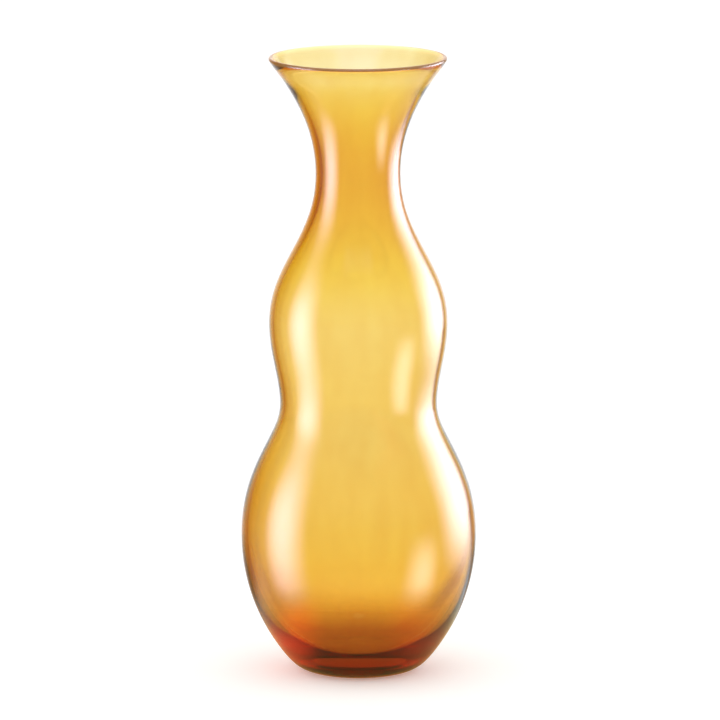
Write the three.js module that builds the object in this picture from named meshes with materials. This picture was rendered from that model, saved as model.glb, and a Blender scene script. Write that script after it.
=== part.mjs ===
// A blown-glass stem vase with two bulbs, built as its gathers of glass lie in the wall:
// an outer casing, a coloured lining and a cup-shaped pad in the base, fused face to face.
// Millimetres, +Z up, origin at the middle of the flat foot.
import * as THREE from 'three';

// Whole height, and the heights of the stations on the outer skin as shares of it
const vaseHeight = 360;
const bellyShare = 0.223;
const waistShare = 0.4355;
const bulbShare = 0.57;
const neckShare = 0.8112;

// Outside radii at the stations
const footRadius = 25;
const bellyRadius = 68.2;
const waistRadius = 45.5;
const bulbRadius = 51.7;
const neckRadius = 24.5;
const mouthRadius = 51.5;

// The heel turns up out of the flat foot on an arc, and the mouth flares out from the neck
const heelRoundRadius = 20.7;
const heelAngleDeg = 48;
const mouthFlareDeg = 37;

// Whole wall, casing and lining together
const lipWall = 2.4;
const neckWall = 4.1;
const bulbWall = 2.7;
const waistWall = 3.0;
const bellyWall = 3.5;
const floorThickness = 10;
const floorRadius = 20;

// Outer casing alone
const casingLip = 1.1;
const casingNeck = 0.9;
const casingBulb = 1.0;
const casingWaist = 1.1;
const casingBelly = 1.2;
const casingHeel = 2.0;

// Coloured lining where it crosses the base pad, and the pad's blunt rim inside the wall
const liningFloor = 2.6;
const padRimWall = 0.5;

// Left free between two fused gathers, so that neither cuts the other
const seamClearance = 0.05;

// How far each end of a span holds its tangent, as a share of that span's height; for the floor
// of the cavity and the pad, as a share of its radius
const fullness = {
  heel: 0.26, bellyBelow: 0.46, bellyAbove: 0.54, waistBelow: 0.24, waistAbove: 0.34,
  bulbBelow: 0.40, bulbAbove: 0.39, neckBelow: 0.43, neckAbove: 0.41, mouth: 0.32,
  cavitySideShare: 0.48, cavityFloorShare: 0.53, padSideShare: 0.64, padFloorShare: 0.41,
};

// Facets: points round the axis, steps along each span, along the heel's arc and the lip's
const turnSegments = 40;
const spanSteps = {
  heel: 4, belly: 5, waist: 7, bulb: 6, neck: 6, mouth: 6, outerLip: 4, innerLip: 3, floor: 8, pad: 6,
};

// The pad climbs this many of the steps from the heel to the belly
const padRimStep = 3;

const bellyHeight = vaseHeight * bellyShare;
const waistHeight = vaseHeight * waistShare;
const bulbHeight = vaseHeight * bulbShare;
const neckHeight = vaseHeight * neckShare;
const neckToMouth = vaseHeight - neckHeight;

const heelAngle = THREE.MathUtils.degToRad(heelAngleDeg);
const flareAngle = THREE.MathUtils.degToRad(mouthFlareDeg);
const flareTangent = new THREE.Vector2(Math.sin(flareAngle), Math.cos(flareAngle));

// The lip is a half round across the wall, its crest at the vase's whole height
const lipRadius = lipWall / 2;
const lipCentre = new THREE.Vector2(mouthRadius - lipRadius, vaseHeight - lipRadius);

function curvePoints(start, startHandle, endHandle, end, steps) {
  return new THREE.CubicBezierCurve(start, startHandle, endHandle, end).getPoints(steps);
}

// A span between two stations whose tangents both stand upright
function uprightSpan(below, above, fullBelow, fullAbove, steps) {
  const rise = above.y - below.y;
  const belowHandle = new THREE.Vector2(below.x, below.y + rise * fullBelow);
  const aboveHandle = new THREE.Vector2(above.x, above.y - rise * fullAbove);
  return curvePoints(below, belowHandle, aboveHandle, above, steps);
}

// Points on the lip's half round, from one direction to another, in radians from outward
function lipArc(fromAngle, toAngle, steps) {
  const points = [];
  for (let i = 0; i <= steps; i += 1) {
    const angle = fromAngle + (toAngle - fromAngle) * (i / steps);
    points.push(new THREE.Vector2(
      lipCentre.x + lipRadius * Math.cos(angle),
      lipCentre.y + lipRadius * Math.sin(angle),
    ));
  }
  return points;
}

// Where the casing ends and the lining begins round the lip, by the casing's share of its wall
const lipOuterAngle = -flareAngle;
const lipSeamAngle = lipOuterAngle + Math.acos((lipRadius - casingLip) / lipRadius);
const lipInnerAngle = Math.PI - flareAngle;

// One skin from the belly to the lip, set in from the outer skin by its own depth at each station
function upperSkin(depth, lipEnd) {
  const belly = new THREE.Vector2(bellyRadius - depth.belly, bellyHeight);
  const waist = new THREE.Vector2(waistRadius - depth.waist, waistHeight);
  const bulb = new THREE.Vector2(bulbRadius - depth.bulb, bulbHeight);
  const neck = new THREE.Vector2(neckRadius - depth.neck, neckHeight);
  const neckHandle = new THREE.Vector2(neck.x, neck.y + neckToMouth * fullness.neckAbove);
  const mouthHandle = lipEnd.clone().addScaledVector(flareTangent, -neckToMouth * fullness.mouth);
  const spans = [
    uprightSpan(belly, waist, fullness.bellyAbove, fullness.waistBelow, spanSteps.waist),
    uprightSpan(waist, bulb, fullness.waistAbove, fullness.bulbBelow, spanSteps.bulb),
    uprightSpan(bulb, neck, fullness.bulbAbove, fullness.neckBelow, spanSteps.neck),
    curvePoints(neck, neckHandle, mouthHandle, lipEnd, spanSteps.mouth),
  ];
  return spans.flatMap((span, index) => (index === 0 ? span : span.slice(1)));
}

// The heel's arc at a depth under the outer skin, from the flat foot up to where the arc ends
function heelArc(depth) {
  const radius = heelRoundRadius - depth;
  const points = [];
  for (let i = 0; i <= spanSteps.heel; i += 1) {
    const angle = heelAngle * (i / spanSteps.heel);
    points.push(new THREE.Vector2(
      footRadius + radius * Math.sin(angle),
      heelRoundRadius - radius * Math.cos(angle),
    ));
  }
  return points;
}

// From the end of the heel's arc up to the belly
function heelToBelly(heelEnd, bellyDepth) {
  const belly = new THREE.Vector2(bellyRadius - bellyDepth, bellyHeight);
  const rise = bellyHeight - heelEnd.y;
  const along = new THREE.Vector2(Math.cos(heelAngle), Math.sin(heelAngle));
  const heelHandle = heelEnd.clone().addScaledVector(along, rise * fullness.heel);
  const bellyHandle = new THREE.Vector2(belly.x, belly.y - rise * fullness.bellyBelow);
  return curvePoints(heelEnd, heelHandle, bellyHandle, belly, spanSteps.belly);
}

const outerDepth = { belly: 0, waist: 0, bulb: 0, neck: 0 };
const cavityDepth = { belly: bellyWall, waist: waistWall, bulb: bulbWall, neck: neckWall };

function seamDepth(clearance) {
  return {
    belly: casingBelly + clearance,
    waist: casingWaist + clearance,
    bulb: casingBulb + clearance,
    neck: casingNeck + clearance,
  };
}

// Outer skin, from the axis under the foot to the lip's outer edge
const outerHeel = heelArc(0);
const outerLip = lipArc(lipOuterAngle, lipSeamAngle, spanSteps.outerLip);
const outerSkin = [
  new THREE.Vector2(0, 0),
  ...outerHeel,
  ...heelToBelly(outerHeel.at(-1), 0).slice(1),
  ...upperSkin(outerDepth, outerLip[0]).slice(1),
];

// One side of the seam between the gathers: under the pad, round the heel and up to the lip
function seamSide(clearance, lipEnd) {
  const heel = heelArc(casingHeel + clearance);
  const depth = seamDepth(clearance);
  const wall = [
    ...heelToBelly(heel.at(-1), depth.belly),
    ...upperSkin(depth, lipEnd).slice(1),
  ];
  return { foot: new THREE.Vector2(0, heel[0].y), heel, wall };
}

const innerLip = lipArc(lipSeamAngle + seamClearance / lipRadius, lipInnerAngle, spanSteps.innerLip);
const casingSeam = seamSide(0, outerLip.at(-1));
const liningSeam = seamSide(seamClearance, innerLip[0]);

// The pad's rim on the seam, at a clearance below the lining that wraps over it
const seamAtRim = liningSeam.wall[padRimStep];
const seamBelowRim = liningSeam.wall[padRimStep - 1];

function padRim(clearance) {
  return seamAtRim.clone().lerp(seamBelowRim, clearance / (seamAtRim.y - seamBelowRim.y));
}

// The pad's inner face, from its rim down inside the wall and in to the axis under the lining
function padFace(clearance) {
  const height = floorThickness - liningFloor - clearance;
  const top = new THREE.Vector2(seamAtRim.x - padRimWall + clearance, seamAtRim.y - clearance);
  const drop = (top.y - height) * fullness.padSideShare;
  const downSeam = seamBelowRim.clone().sub(seamAtRim).normalize();
  const reach = (top.x - floorRadius) * fullness.padFloorShare;
  const face = curvePoints(
    top,
    top.clone().addScaledVector(downSeam, drop),
    new THREE.Vector2(floorRadius + reach, height),
    new THREE.Vector2(floorRadius, height),
    spanSteps.pad,
  );
  return [...face, new THREE.Vector2(0, height)];
}

const liningUnderside = padFace(0);
const padTop = padFace(seamClearance);

// Cavity skin, from the lip's inner edge down to the middle of the floor
const cavityWall = upperSkin(cavityDepth, innerLip.at(-1)).reverse();
const cavityBelly = cavityWall.at(-1);
const floorEdge = new THREE.Vector2(floorRadius, floorThickness);
const cavityDrop = (cavityBelly.y - floorEdge.y) * fullness.cavitySideShare;
const cavityReach = (cavityBelly.x - floorEdge.x) * fullness.cavityFloorShare;
const cavityFloor = curvePoints(
  cavityBelly,
  new THREE.Vector2(cavityBelly.x, cavityBelly.y - cavityDrop),
  new THREE.Vector2(floorEdge.x + cavityReach, floorEdge.y),
  floorEdge,
  spanSteps.floor,
);

const casingProfile = [
  ...outerSkin,
  ...outerLip.slice(1),
  ...casingSeam.wall.slice(0, -1).reverse(),
  ...casingSeam.heel.slice(0, -1).reverse(),
  casingSeam.foot,
];

const liningProfile = [
  ...liningUnderside.slice().reverse(),
  ...liningSeam.wall.slice(padRimStep),
  ...innerLip.slice(1),
  ...cavityWall.slice(1),
  ...cavityFloor.slice(1),
  new THREE.Vector2(0, floorThickness),
];

const padProfile = [
  liningSeam.foot,
  ...liningSeam.heel,
  ...liningSeam.wall.slice(1, padRimStep),
  padRim(seamClearance),
  ...padTop,
];

// Turns a closed half outline about the axis, standing it up along +Z
function turnedPiece(name, profile, color, roughness) {
  const geometry = new THREE.LatheGeometry(profile, turnSegments);
  geometry.rotateX(Math.PI / 2);
  const material = new THREE.MeshStandardMaterial({ color, roughness, metalness: 0 });
  const mesh = new THREE.Mesh(geometry, material);
  mesh.name = name;
  return mesh;
}

const vase = new THREE.Group();
vase.add(turnedPiece('outer_casing', casingProfile, 0xf2c36a, 0.05));
vase.add(turnedPiece('amber_lining', liningProfile, 0xd98a2a, 0.05));
vase.add(turnedPiece('base_pad', padProfile, 0x7a2f0c, 0.05));

export default vase;
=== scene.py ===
"""A blown amber glass vase with two bulbs on a pale studio floor.

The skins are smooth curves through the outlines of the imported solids, turned about the vase's axis.
"""

import math

import bmesh
import bpy
import numpy as np
from mathutils import Matrix, Vector


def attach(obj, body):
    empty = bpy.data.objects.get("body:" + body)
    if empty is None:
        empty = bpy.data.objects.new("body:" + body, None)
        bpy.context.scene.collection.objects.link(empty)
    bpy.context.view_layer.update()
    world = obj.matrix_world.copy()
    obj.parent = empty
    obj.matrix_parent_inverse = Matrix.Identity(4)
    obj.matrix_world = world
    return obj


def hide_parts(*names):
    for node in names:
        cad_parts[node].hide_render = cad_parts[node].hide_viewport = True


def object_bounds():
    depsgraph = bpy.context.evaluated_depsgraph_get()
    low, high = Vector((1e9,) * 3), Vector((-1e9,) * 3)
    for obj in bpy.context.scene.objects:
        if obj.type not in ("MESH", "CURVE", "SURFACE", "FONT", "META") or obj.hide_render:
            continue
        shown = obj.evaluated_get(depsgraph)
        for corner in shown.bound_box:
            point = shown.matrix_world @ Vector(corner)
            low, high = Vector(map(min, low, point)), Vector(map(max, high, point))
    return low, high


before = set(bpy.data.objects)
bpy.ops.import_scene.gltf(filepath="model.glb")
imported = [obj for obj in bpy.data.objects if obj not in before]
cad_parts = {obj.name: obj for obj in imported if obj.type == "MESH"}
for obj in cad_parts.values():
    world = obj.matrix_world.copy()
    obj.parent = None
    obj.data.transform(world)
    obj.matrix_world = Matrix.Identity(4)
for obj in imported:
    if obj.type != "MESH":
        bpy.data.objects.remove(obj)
cad_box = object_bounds()

# Lengths in metres
MM = 0.001
FOOT_Z = cad_box[0].z
LIP_Z = cad_box[1].z
VASE_HEIGHT = LIP_Z - FOOT_Z

# Points nearer than this are one point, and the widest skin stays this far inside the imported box
SAME_POINT = 0.002 * MM
WIDEST_RADIUS = cad_box[1].x - SAME_POINT

# An outline that turns by more than this has a corner there
SHARP_CORNER = math.radians(36)

# How finely the skins are drawn: the longest step along an outline, and the steps round the axis
STEPS_AT_LEAST = 4
SKIN_STEP = 2.2 * MM
SKIN_TURNS = 180
LAYER_STEP = 3.5 * MM
LAYER_TURNS = 120

# Lining and pad lie this far inside the faces of their solids, so that no two skins touch
LAYER_INSET = 0.10 * MM

# Glass: its refractive index, and the tint and the strength of its colour in depth
GLASS_INDEX = 1.5
NO_BENDING = 1.0
CASING_TINT = (0.87, 0.62, 0.25)
CASING_DENSITY = 40.0
LINING_TINT = (0.954, 0.806, 0.03)
LINING_DENSITY = 660.0
PAD_TINT = (0.925, 0.52, 0.08)
PAD_DENSITY = 225.0

# Ripples left by the blowing: how far apart, how much closer round the vase than up it, how deep
RIPPLE_SCALE = 22.0
RIPPLE_DETAIL = 1.0
RIPPLE_DRAWN_OUT = 0.35
RIPPLE_DEPTH = 0.35 * MM

# Faint streaks of colour and a worn polish, both finer than the ripples
STREAK_SCALE = 4 * RIPPLE_SCALE
STREAK_DETAIL = 3.0
STREAK_FROM = 0.35
STREAK_TO = 0.65
STREAK_TINT = (0.98, 0.95, 0.90)
POLISH_SCALE = 2 * RIPPLE_SCALE
POLISH_DETAIL = 2.0
POLISH_FROM = 0.3
POLISH_TO = 0.7
WORN_ROUGHNESS = 0.03

# The amber is deeper up the neck and low in the belly, each from where it starts to where it is full
CLEAR = (1.0, 1.0, 1.0)
DEEP_TINT = (1.0, 1.0, 0.66)
DEEP_NECK_FOOT = (205 * MM, 240 * MM)
DEEP_NECK_TOP = (354 * MM, 328 * MM)
DEEP_BELLY = (88 * MM, 54 * MM)

# Painted glow at the lip: emission standing in for the light that the wall carries up to it
LIP_GLOW = (0.34, 0.16, 0.045)
LIP_GLOW_HEIGHT = 2.2 * MM

# Painted red glow in the sides of the heel, most on the left, emission standing in for light that
# gathers there, from where it starts to where it is full
HEEL_GLOW = (0.19, 0.006, 0.0)
HEEL_GLOW_BELOW = (-2 * MM, 12 * MM)
HEEL_GLOW_ABOVE = (32 * MM, 18 * MM)
HEEL_GLOW_LEFT = (-18 * MM, -42 * MM)
HEEL_GLOW_RIGHT = (12 * MM, 34 * MM)
HEEL_GLOW_RIGHT_SHARE = 0.32

# The floor doesn't show in the vase's reflections, which pass it and reach the lamps
FLOOR_RADIUS = 20.0
FLOOR_SIDES = 96
FLOOR_GAP = 0.2 * MM
FLOOR_COLOR = (0.96, 0.96, 0.96)
FLOOR_MOTTLE_COLOR = (0.9456, 0.9456, 0.9456)
FLOOR_MOTTLE_SCALE = 6.0
FLOOR_MOTTLE_DETAIL = 4.0
FLOOR_SMOOTHEST = 0.8
FLOOR_ROUGHEST = 1.0

# The floor lights up a little by itself, most in the vase's shade: painted light that fills in the
# vase's shadow
FLOOR_LIFT = 0.06
SHADE_LIFT = 0.16
SHADE_SPAN = (0.42, 0.02)

# Painted amber light and shade on the floor round the foot, standing in for the light that the vase
# gathers there, seen in and through the glass alone
FOOT_GLOW_INSIDE = (0.34, 0.15, 0.015)
FOOT_GLOW_OUTSIDE = (0.88, 0.76, 0.38)
FOOT_GLOW_TURNED = 0.13
FOOT_GLOW_FULL = 0.08
FOOT_GLOW_GONE = 0.18

# Cards on the floor behind the vase, out of the picture, which its side edges bend into view; they paint
# shade into those edges, standing in for darker surroundings, and are seen only in the glass
MATT_ROUGHNESS = 0.9
CARD_CLEAR = 0.05
CARD_FULL = 0.18
CARD_FAR = 5.0
CARD_HEIGHT = 6.0
LEFT_CARD = {"azimuth": -134, "half_angle": 39, "color": (0.50, 0.24, 0.07)}
RIGHT_CARD = {"azimuth": 147, "half_angle": 14, "color": (0.46, 0.31, 0.18)}

# Lamps aimed at the vase's middle: azimuth 0 is the camera's side, and positive is to its right
LEFT_SOFTBOX = {
    "azimuth": -77, "elevation": -3, "distance": 0.9, "width": 1.00, "height": 1.9,
    "power": 71, "fade": 1.0, "color": (0.90, 0.77, 1.0),
}
RIGHT_SOFTBOX = {
    "azimuth": 115, "elevation": 5, "distance": 1.0, "width": 1.36, "height": 1.3,
    "power": 62, "fade": 0.9, "color": (0.88, 0.87, 1.0),
}
RIGHT_FILL = {
    "azimuth": 65, "elevation": -27, "distance": 0.9, "width": 0.70, "height": 0.8,
    "power": 11, "fade": 1.0, "color": (1, 1, 1),
}
TOP_SOFTBOX = {
    "azimuth": 0, "elevation": 68, "distance": 1.0, "width": 0.90, "height": 0.9,
    "power": 5, "fade": 0.5, "color": (0.2, 0.4, 1.0),
}
ROOM_LIGHT = 1.06

# The camera stands well back, a little above the mouth
CAMERA_DISTANCE = 4.5
RIM_ELEVATION = math.radians(8.0)
CAMERA_ROLL = math.radians(0.11)
SENSOR_WIDTH_IN_MM = 36.0

# How large the vase is in the picture and where its middle lies, in the picture's pixels
FRAME_PIXELS = 720
PIXELS_PER_METRE = 1725.5
MIDDLE_X = 358.4
MIDDLE_Y = 364.6


def half_outline(node):
    """A solid's outline in the +X half plane as (radius, height), from its lowest point on the axis."""
    mesh = bmesh.new()
    mesh.from_mesh(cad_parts[node].data)
    bmesh.ops.remove_doubles(mesh, verts=mesh.verts, dist=SAME_POINT)
    in_plane = {v for v in mesh.verts if abs(v.co.y) < SAME_POINT and v.co.x > -SAME_POINT}
    here = min((v for v in in_plane if v.co.x < SAME_POINT), key=lambda v: v.co.z)
    chain = [here]
    while here is not None:
        ahead = [e.other_vert(here) for e in here.link_edges]
        ahead = [v for v in ahead if v in in_plane and v not in chain]
        here = ahead[0] if ahead else None
        if here is not None:
            chain.append(here)
    points = [np.array((v.co.x, v.co.z)) for v in chain]
    mesh.free()
    return points


def runs_between_corners(points):
    """Cuts an outline where it turns sharply; each run keeps both of its corner points."""
    runs = []
    run = [points[0]]
    for before, point, after in zip(points, points[1:], points[2:]):
        run.append(point)
        arriving = Vector(point - before)
        leaving = Vector(after - point)
        if arriving.angle(leaving) > SHARP_CORNER:
            runs.append(run)
            run = [point]
    run.append(points[-1])
    runs.append(run)
    return runs


def smooth_run(points, step):
    """A cubic spline through the points, level where it meets the axis and free at its other ends."""
    knots = np.array(points)
    chords = np.linalg.norm(np.diff(knots, axis=0), axis=1)
    count = len(knots)
    system = np.zeros((count, count))
    wanted = np.zeros((count, 2))
    for i in range(1, count - 1):
        before = chords[i - 1]
        after = chords[i]
        system[i, i - 1:i + 2] = after, 2 * (before + after), before
        wanted[i] = 3 * (before / after * (knots[i + 1] - knots[i])
                         + after / before * (knots[i] - knots[i - 1]))
    for end, inner, chord in ((0, 1, chords[0]), (count - 1, count - 2, chords[-1])):
        direction = (knots[max(end, inner)] - knots[min(end, inner)]) / chord
        if knots[end][0] < SAME_POINT:
            system[end, end] = 1
            wanted[end] = (math.copysign(1, direction[0]), 0)
        else:
            system[end, end] = 2
            system[end, inner] = 1
            wanted[end] = 3 * direction
    slopes = np.linalg.solve(system, wanted)
    fine = [knots[0]]
    for i, chord in enumerate(chords):
        steps = max(STEPS_AT_LEAST, math.ceil(chord / step))
        for k in range(1, steps + 1):
            t = k / steps
            fine.append((1 + 2 * t) * (1 - t) ** 2 * knots[i] + t * (1 - t) ** 2 * chord * slopes[i]
                        + t * t * (3 - 2 * t) * knots[i + 1] - t * t * (1 - t) * chord * slopes[i + 1])
    return fine


def joined_runs(runs, step):
    """Smooths each run and joins them into one outline, with each corner point in it once."""
    outline = [runs[0][0]]
    for run in runs:
        outline.extend(smooth_run(run, step)[1:])
    return outline


def inset(outline, depth):
    """Moves an outline into its own material, mitred at its corners, keeping its ends on the axis."""
    inwards = []
    for start, end in zip(outline, outline[1:]):
        along = (end - start) / np.linalg.norm(end - start)
        inwards.append(np.array((-along[1], along[0])))
    moved = []
    for point, before, after in zip(outline, inwards[:1] + inwards, inwards + inwards[-1:]):
        shifted = point + depth * (before + after) / (1 + before @ after)
        if point[0] < SAME_POINT:
            shifted[0] = 0.0
        moved.append(shifted)
    return moved


def placed_object(name, mesh):
    """Makes a scene object of a finished bmesh and frees it."""
    data = bpy.data.meshes.new(name)
    mesh.to_mesh(data)
    mesh.free()
    placed = bpy.data.objects.new(name, data)
    bpy.context.scene.collection.objects.link(placed)
    return placed


def spin_about_axis(mesh, verts, edges, turns):
    """Turns a chain of edges once round the vase's axis and closes its seam and its poles."""
    bmesh.ops.spin(
        mesh, geom=verts + edges, cent=(0, 0, 0), axis=(0, 0, 1),
        angle=math.tau, steps=turns, use_merge=True,
    )
    bmesh.ops.remove_doubles(mesh, verts=mesh.verts, dist=SAME_POINT)


def turned_piece(name, outline, turns):
    """Spins a half outline into a closed mesh, shaded smooth but for its sharp corners."""
    mesh = bmesh.new()
    verts = [mesh.verts.new((max(r, 0.0), 0.0, z)) for r, z in outline]
    edges = [mesh.edges.new(pair) for pair in zip(verts, verts[1:])]
    spin_about_axis(mesh, verts, edges, turns)
    bmesh.ops.recalc_face_normals(mesh, faces=mesh.faces)
    if mesh.calc_volume(signed=True) < 0:
        bmesh.ops.reverse_faces(mesh, faces=mesh.faces)
    for face in mesh.faces:
        face.smooth = True
    for edge in mesh.edges:
        edge.smooth = edge.calc_face_angle(0) < SHARP_CORNER
    return placed_object(name, mesh)


def add_node(tree, kind, **values):
    """Adds a shader node and sets its inputs by their names."""
    node = tree.nodes.new(kind)
    for key, value in values.items():
        node.inputs[key.replace("_", " ")].default_value = value
    return node


def add_math(tree, operation, *values):
    """A Math node fed by sockets or plain numbers; returns its output socket."""
    node = tree.nodes.new("ShaderNodeMath")
    node.operation = operation
    for socket, value in zip(node.inputs, values):
        if isinstance(value, (int, float)):
            socket.default_value = value
        else:
            tree.links.new(value, socket)
    return node.outputs[0]


def object_place(tree):
    """The place of a point in its object's own coordinates, as a socket."""
    return tree.nodes.new("ShaderNodeTexCoord").outputs["Object"]


def object_axes(tree):
    """The same place as three sockets, named X, Y and Z."""
    split = tree.nodes.new("ShaderNodeSeparateXYZ")
    tree.links.new(object_place(tree), split.inputs[0])
    return split.outputs


def distance_from_foot(tree):
    """How far a point of the floor lies from the middle of the foot, as a socket."""
    distance = tree.nodes.new("ShaderNodeVectorMath")
    distance.operation = "LENGTH"
    tree.links.new(object_place(tree), distance.inputs[0])
    return distance.outputs["Value"]


def along_vector(tree, direction):
    """How far a point lies along a direction, as a socket."""
    along = tree.nodes.new("ShaderNodeVectorMath")
    along.operation = "DOT_PRODUCT"
    along.inputs[1].default_value = direction
    tree.links.new(object_place(tree), along.inputs[0])
    return along.outputs["Value"]


def even_share(tree, value, none, whole, least=0.0, most=1.0):
    """Goes evenly from the least to the most as a value goes from one bound to the other."""
    share = add_node(
        tree, "ShaderNodeMapRange", From_Min=none, From_Max=whole, To_Min=least, To_Max=most,
    )
    tree.links.new(value, share.inputs["Value"])
    return share.outputs[0]


def soft_share(tree, value, none, whole):
    """Rises softly from 0 to 1 as a value goes from one bound to the other."""
    share = add_node(tree, "ShaderNodeMapRange", From_Min=none, From_Max=whole)
    share.interpolation_type = "SMOOTHSTEP"
    tree.links.new(value, share.inputs["Value"])
    return share.outputs[0]


def mix_colors(tree, share, first, second):
    """A colour between two others, as a socket."""
    mix = tree.nodes.new("ShaderNodeMix")
    mix.data_type = "RGBA"
    ends = [socket for socket in mix.inputs if socket.type == "RGBA"]
    ends[0].default_value = (*first, 1)
    ends[1].default_value = (*second, 1)
    tree.links.new(share, mix.inputs["Factor"])
    return next(socket for socket in mix.outputs if socket.type == "RGBA")


def scaled_color(tree, color, amount):
    """A colour times a socket's value, as a socket."""
    scaled = tree.nodes.new("ShaderNodeVectorMath")
    scaled.operation = "SCALE"
    scaled.inputs[0].default_value = color
    tree.links.new(amount, scaled.inputs["Scale"])
    return scaled.outputs[0]


def combined_colors(tree, operation, first, second):
    """Two colour sockets added or multiplied, as a socket."""
    both = tree.nodes.new("ShaderNodeVectorMath")
    both.operation = operation
    tree.links.new(first, both.inputs[0])
    tree.links.new(second, both.inputs[1])
    return both.outputs[0]


def new_group(name, **outputs):
    """An empty shader node group with the named outputs, and its output node."""
    group = bpy.data.node_groups.new(name, "ShaderNodeTree")
    for socket, kind in outputs.items():
        group.interface.new_socket(name=socket, in_out="OUTPUT", socket_type=kind)
    return group, group.nodes.new("NodeGroupOutput")


def drawn_out_noise(tree, scale, detail):
    """Noise on the object's own coordinates, stretched up the vase as the gather was."""
    stretch = add_node(tree, "ShaderNodeMapping", Scale=(1, 1, RIPPLE_DRAWN_OUT))
    noise = add_node(tree, "ShaderNodeTexNoise", Scale=scale, Detail=detail)
    tree.links.new(object_place(tree), stretch.inputs["Vector"])
    tree.links.new(stretch.outputs[0], noise.inputs["Vector"])
    return noise.outputs["Fac"]


def blown_glass_group():
    """What the blowing leaves in the glass: ripples, faint streaks of colour and a worn polish."""
    group, out = new_group(
        "blown_glass", Ripple="NodeSocketFloat", Streak="NodeSocketColor", Polish="NodeSocketFloat",
    )
    ripple = drawn_out_noise(group, RIPPLE_SCALE, RIPPLE_DETAIL)
    group.links.new(ripple, out.inputs["Ripple"])
    drawn = drawn_out_noise(group, STREAK_SCALE, STREAK_DETAIL)
    clear = even_share(group, drawn, STREAK_FROM, STREAK_TO)
    group.links.new(mix_colors(group, clear, STREAK_TINT, CLEAR), out.inputs["Streak"])
    worn = drawn_out_noise(group, POLISH_SCALE, POLISH_DETAIL)
    polish = even_share(group, worn, POLISH_FROM, POLISH_TO, most=WORN_ROUGHNESS)
    group.links.new(polish, out.inputs["Polish"])
    return group


def glass_material(name, index, tint, density, surface_detail):
    """Glass coloured by the length of the light's way through it; what bends no light has no streaks."""
    material = bpy.data.materials.new(name)
    material.use_nodes = True
    tree = material.node_tree
    tree.nodes.clear()
    out = add_node(tree, "ShaderNodeOutputMaterial")
    surface = add_node(
        tree, "ShaderNodeBsdfPrincipled", IOR=index, Transmission_Weight=1.0, Base_Color=(*CLEAR, 1),
    )
    detail = tree.nodes.new("ShaderNodeGroup")
    detail.node_tree = surface_detail
    bump = add_node(tree, "ShaderNodeBump", Strength=1.0, Distance=RIPPLE_DEPTH)
    if index > NO_BENDING:
        tree.links.new(detail.outputs["Streak"], surface.inputs["Base Color"])
    tree.links.new(detail.outputs["Polish"], surface.inputs["Roughness"])
    tree.links.new(detail.outputs["Ripple"], bump.inputs["Height"])
    tree.links.new(bump.outputs[0], surface.inputs["Normal"])
    volume = add_node(tree, "ShaderNodeVolumeAbsorption", Color=(*tint, 1), Density=density)
    tree.links.new(surface.outputs[0], out.inputs["Surface"])
    tree.links.new(volume.outputs[0], out.inputs["Volume"])
    return material


def principled(material):
    """The Principled node of a material."""
    return next(node for node in material.node_tree.nodes if node.type == "BSDF_PRINCIPLED")


def shine(material, color):
    """Feeds a colour socket to a material's emission."""
    surface = principled(material)
    material.node_tree.links.new(color, surface.inputs["Emission Color"])
    surface.inputs["Emission Strength"].default_value = 1.0


def deepen_with_height(material):
    """Deepens the surface's tint up the neck and low in the belly."""
    tree = material.node_tree
    height = object_axes(tree)["Z"]
    above_shoulder = soft_share(tree, height, *DEEP_NECK_FOOT)
    below_lip = soft_share(tree, height, *DEEP_NECK_TOP)
    low = soft_share(tree, height, *DEEP_BELLY)
    deep = add_math(tree, "MULTIPLY_ADD", above_shoulder, below_lip, low)
    base_color = principled(material).inputs["Base Color"]
    streak = base_color.links[0].from_socket
    tinted = combined_colors(tree, "MULTIPLY", streak, mix_colors(tree, deep, CLEAR, DEEP_TINT))
    tree.links.new(tinted, base_color)


def paint_glow_in_wall(material):
    """Paints a faint glow onto the lip and the sides of the heel, emission standing in for the light
    that the wall carries.
    """
    tree = material.node_tree
    axes = object_axes(tree)
    lip = even_share(tree, axes["Z"], LIP_Z - LIP_GLOW_HEIGHT, LIP_Z)
    above_foot = soft_share(tree, axes["Z"], *HEEL_GLOW_BELOW)
    below_belly = soft_share(tree, axes["Z"], *HEEL_GLOW_ABOVE)
    left = soft_share(tree, axes["X"], *HEEL_GLOW_LEFT)
    right = soft_share(tree, axes["X"], *HEEL_GLOW_RIGHT)
    sides = add_math(tree, "MULTIPLY_ADD", right, HEEL_GLOW_RIGHT_SHARE, left)
    heel = add_math(tree, "MULTIPLY", add_math(tree, "MULTIPLY", above_foot, below_belly), sides)
    glow = combined_colors(
        tree, "ADD", scaled_color(tree, LIP_GLOW, lip), scaled_color(tree, HEEL_GLOW, heel),
    )
    shine(material, glow)


def dress(piece, material, node):
    """Gives a piece its glass and sets it in the frame in its node's place."""
    piece.data.materials.append(material)
    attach(piece, "root")
    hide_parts(node)
    return piece


def build_casing(casing, lining, blown):
    """The whole wall in one skin: the casing's outside, and the lining's inside as its cavity."""
    wall = smooth_run(casing[0][:-1] + lining[-1], SKIN_STEP)
    wall = [np.array((min(r, WIDEST_RADIUS), min(max(z, FOOT_Z), LIP_Z))) for r, z in wall]
    material = glass_material("pale_amber_casing", GLASS_INDEX, CASING_TINT, CASING_DENSITY, blown)
    deepen_with_height(material)
    # Painted glow at the lip and in the sides of the heel
    paint_glow_in_wall(material)
    return dress(
        turned_piece("casing_glass", wall, SKIN_TURNS), material, "outer_casing",
    )


def build_layer(name, runs, material, node):
    """A coloured gather inside the wall, which doesn't bend light."""
    outline = inset(joined_runs(runs, LAYER_STEP), LAYER_INSET)
    return dress(turned_piece(name, outline, LAYER_TURNS), material, node)


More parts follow.
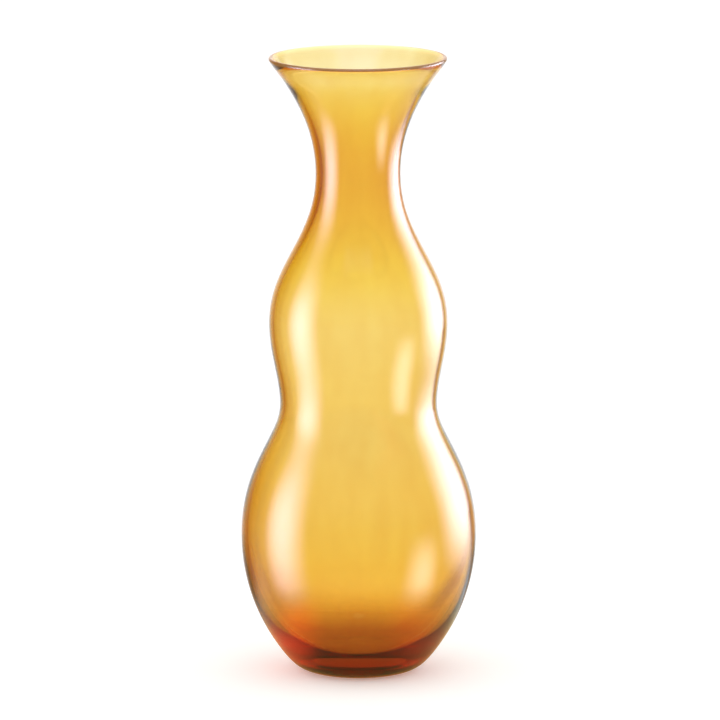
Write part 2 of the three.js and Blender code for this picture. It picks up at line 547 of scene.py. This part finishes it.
def build_vase():
    """Casing, lining and pad, each in the place of its node."""
    casing = runs_between_corners(half_outline("outer_casing"))
    lining = runs_between_corners(half_outline("amber_lining"))
    pad = runs_between_corners(half_outline("base_pad"))
    blown = blown_glass_group()
    lining_glass = glass_material("amber_lining", NO_BENDING, LINING_TINT, LINING_DENSITY, blown)
    pad_glass = glass_material("deep_amber_pad", NO_BENDING, PAD_TINT, PAD_DENSITY, blown)
    return [
        build_casing(casing, lining, blown),
        build_layer("lining_glass", lining, lining_glass, "amber_lining"),
        build_layer("pad_glass", pad, pad_glass, "base_pad"),
    ]


def plain_material(name, color, roughness):
    """A new material of one colour, as a start."""
    material = bpy.data.materials.new(name)
    material.use_nodes = True
    surface = principled(material)
    surface.inputs["Base Color"].default_value = (*color, 1)
    surface.inputs["Roughness"].default_value = roughness
    return material


def disc(name, radius, height):
    """A flat round sheet, facing up."""
    mesh = bmesh.new()
    start = [mesh.verts.new((place, 0, height)) for place in (0, radius)]
    spin_about_axis(mesh, start, [mesh.edges.new(start)], FLOOR_SIDES)
    if sum(face.normal.z for face in mesh.faces) < 0:
        bmesh.ops.reverse_faces(mesh, faces=mesh.faces)
    sheet = placed_object(name, mesh)
    return sheet


def hide_but_through_glass(sheet):
    """Leaves a sheet to be seen only in the glass and through it."""
    sheet.visible_camera = False
    sheet.visible_diffuse = False
    sheet.visible_shadow = False


def foot_glow_material():
    """Painted light: shines deep amber under the foot and paler outwards, and turns clear at its edge.
    """
    material = plain_material("foot_glow", (0, 0, 0), 1.0)
    tree = material.node_tree
    distance = distance_from_foot(tree)
    turned = soft_share(tree, distance, 0.0, FOOT_GLOW_TURNED)
    shine(material, mix_colors(tree, turned, FOOT_GLOW_INSIDE, FOOT_GLOW_OUTSIDE))
    fade = soft_share(tree, distance, FOOT_GLOW_GONE, FOOT_GLOW_FULL)
    tree.links.new(fade, principled(material).inputs["Alpha"])
    return material


def floor_material():
    """Pale matt board, slightly mottled, with painted light that fills in the vase's shade, so that it
    hardly darkens there.
    """
    material = plain_material("pale_floor", FLOOR_COLOR, MATT_ROUGHNESS)
    tree = material.node_tree
    surface = principled(material)
    mottle = add_node(
        tree, "ShaderNodeTexNoise", Scale=FLOOR_MOTTLE_SCALE, Detail=FLOOR_MOTTLE_DETAIL,
    )
    tree.links.new(object_place(tree), mottle.inputs["Vector"])
    color = mix_colors(tree, mottle.outputs["Fac"], FLOOR_MOTTLE_COLOR, FLOOR_COLOR)
    tree.links.new(color, surface.inputs["Base Color"])
    worn = even_share(tree, mottle.outputs["Fac"], 0.0, 1.0, FLOOR_SMOOTHEST, FLOOR_ROUGHEST)
    tree.links.new(worn, surface.inputs["Roughness"])
    # Painted light, strongest in the vase's shade near the foot
    shade = soft_share(tree, distance_from_foot(tree), *SHADE_SPAN)
    shine(material, mix_colors(tree, shade, (FLOOR_LIFT,) * 3, (FLOOR_LIFT + SHADE_LIFT,) * 3))
    return material


def build_floor():
    """The floor just under the foot, and the painted glow that lies on it."""
    floor = disc("floor", FLOOR_RADIUS, FOOT_Z - FLOOR_GAP)
    floor.visible_glossy = False
    floor.data.materials.append(floor_material())
    glow = disc("foot_glow", FOOT_GLOW_GONE, FOOT_Z - FLOOR_GAP / 2)
    hide_but_through_glass(glow)
    glow.data.materials.append(foot_glow_material())


def fading_card_material(name, color, away, across, spread):
    """A matt card that turns clear from its middle line out to its sides and in towards the vase."""
    material = plain_material(name, color, MATT_ROUGHNESS)
    tree = material.node_tree
    outwards = along_vector(tree, away)
    sideways = add_math(tree, "ABSOLUTE", along_vector(tree, across))
    slope = add_math(tree, "DIVIDE", sideways, outwards)
    near_middle = soft_share(tree, slope, spread, 0.0)
    off_vase = soft_share(tree, outwards, CARD_CLEAR, CARD_FULL)
    fade = add_math(tree, "MULTIPLY", near_middle, off_vase)
    tree.links.new(fade, principled(material).inputs["Alpha"])
    return material


def build_card(name, azimuth, half_angle, color):
    """A card that lies on the floor behind the vase and stands up at its far end, painting shade into
    the vase's edge.
    """
    angle = math.radians(azimuth)
    away = Vector((math.sin(angle), -math.cos(angle), 0))
    across = Vector((math.cos(angle), math.sin(angle), 0))
    spread = math.tan(math.radians(half_angle))
    low = FOOT_Z - FLOOR_GAP / 4
    mesh = bmesh.new()
    rows = []
    for distance, height in ((CARD_CLEAR, low), (CARD_FAR, low), (CARD_FAR, CARD_HEIGHT)):
        middle = away * distance + Vector((0, 0, height))
        rows.append([mesh.verts.new(middle + across * distance * spread * side) for side in (-1, 1)])
    for (low_left, low_right), (high_left, high_right) in zip(rows, rows[1:]):
        mesh.faces.new((low_left, low_right, high_right, high_left))
    card = placed_object(name, mesh)
    hide_but_through_glass(card)
    card.data.materials.append(fading_card_material(name, color, away, across, spread))


def fade_at_edges(lamp, share):
    """Dims a rectangular lamp towards its sides, as a diffuser does, over a share of each half width."""
    lamp.use_nodes = True
    tree = lamp.node_tree
    place = tree.nodes.new("ShaderNodeNewGeometry")
    split = tree.nodes.new("ShaderNodeSeparateXYZ")
    tree.links.new(place.outputs["Parametric"], split.inputs[0])
    fades = []
    for side in range(2):
        off_middle = add_math(tree, "ABSOLUTE", add_math(tree, "SUBTRACT", split.outputs[side], 0.5))
        fades.append(soft_share(tree, off_middle, 0.5, 0.5 - share / 2))
    both = add_math(tree, "MULTIPLY", *fades)
    tree.links.new(both, tree.nodes["Emission"].inputs["Strength"])


def softbox(name, lit, azimuth, elevation, distance, width, height, power, fade, color):
    """A rectangular lamp that lights the vase alone and doesn't show through it."""
    lamp = bpy.data.lights.new(name, "AREA")
    lamp.shape = "RECTANGLE"
    lamp.size = width
    lamp.size_y = height
    lamp.energy = power
    lamp.color = color
    fade_at_edges(lamp, fade)
    lamp_object = bpy.data.objects.new(name, lamp)
    turn = math.radians(azimuth)
    rise = math.radians(elevation)
    away = Vector((math.sin(turn) * math.cos(rise), -math.cos(turn) * math.cos(rise), math.sin(rise)))
    lamp_object.location = Vector((0, 0, VASE_HEIGHT / 2)) + away * distance
    lamp_object.rotation_euler = away.to_track_quat("Z", "Y").to_euler()
    lamp_object.visible_camera = False
    lamp_object.visible_transmission = False
    lamp_object.light_linking.receiver_collection = lit
    bpy.context.scene.collection.objects.link(lamp_object)


def build_light(vase_pieces):
    """An even white room, and four soft lamps that only the vase receives."""
    world = bpy.data.worlds.new("white_room")
    world.use_nodes = True
    room = world.node_tree.nodes["Background"]
    room.inputs["Color"].default_value = (1, 1, 1, 1)
    room.inputs["Strength"].default_value = ROOM_LIGHT
    bpy.context.scene.world = world
    lit = bpy.data.collections.new("lit_by_softboxes")
    for piece in vase_pieces:
        lit.objects.link(piece)
    softbox("left_softbox", lit, **LEFT_SOFTBOX)
    softbox("right_softbox", lit, **RIGHT_SOFTBOX)
    softbox("right_fill", lit, **RIGHT_FILL)
    softbox("top_softbox", lit, **TOP_SOFTBOX)


def build_camera():
    """The camera, aimed at the vase's middle and shifted to where that lies in the picture."""
    middle = Vector((0, 0, FOOT_Z + VASE_HEIGHT / 2))
    rise = VASE_HEIGHT + CAMERA_DISTANCE * math.tan(RIM_ELEVATION)
    place = Vector((0, -CAMERA_DISTANCE, rise))
    camera = bpy.data.cameras.new("camera")
    camera.sensor_width = SENSOR_WIDTH_IN_MM
    camera.lens = camera.sensor_width * PIXELS_PER_METRE * (place - middle).length / FRAME_PIXELS
    camera.shift_x = (FRAME_PIXELS / 2 - MIDDLE_X) / FRAME_PIXELS
    camera.shift_y = (MIDDLE_Y - FRAME_PIXELS / 2) / FRAME_PIXELS
    camera_object = bpy.data.objects.new("camera", camera)
    camera_object.location = place
    aim = (middle - place).to_track_quat("-Z", "Y")
    camera_object.rotation_euler = (aim.to_matrix() @ Matrix.Rotation(-CAMERA_ROLL, 3, "Z")).to_euler()
    bpy.context.scene.collection.objects.link(camera_object)
    bpy.context.scene.camera = camera_object


def set_light_paths():
    """Glass needs many bounces, and the picture is shown without a film curve."""
    scene = bpy.context.scene
    scene.view_settings.view_transform = "Standard"
    cycles = scene.cycles
    cycles.max_bounces = 40
    cycles.transmission_bounces = 40
    cycles.glossy_bounces = 12
    cycles.diffuse_bounces = 4
    cycles.sample_clamp_indirect = 6.0
    cycles.blur_glossy = 0.5
    cycles.use_denoising = True


vase_pieces = build_vase()
build_floor()
build_card("left_card", **LEFT_CARD)
build_card("right_card", **RIGHT_CARD)
build_light(vase_pieces)
build_camera()
set_light_paths()
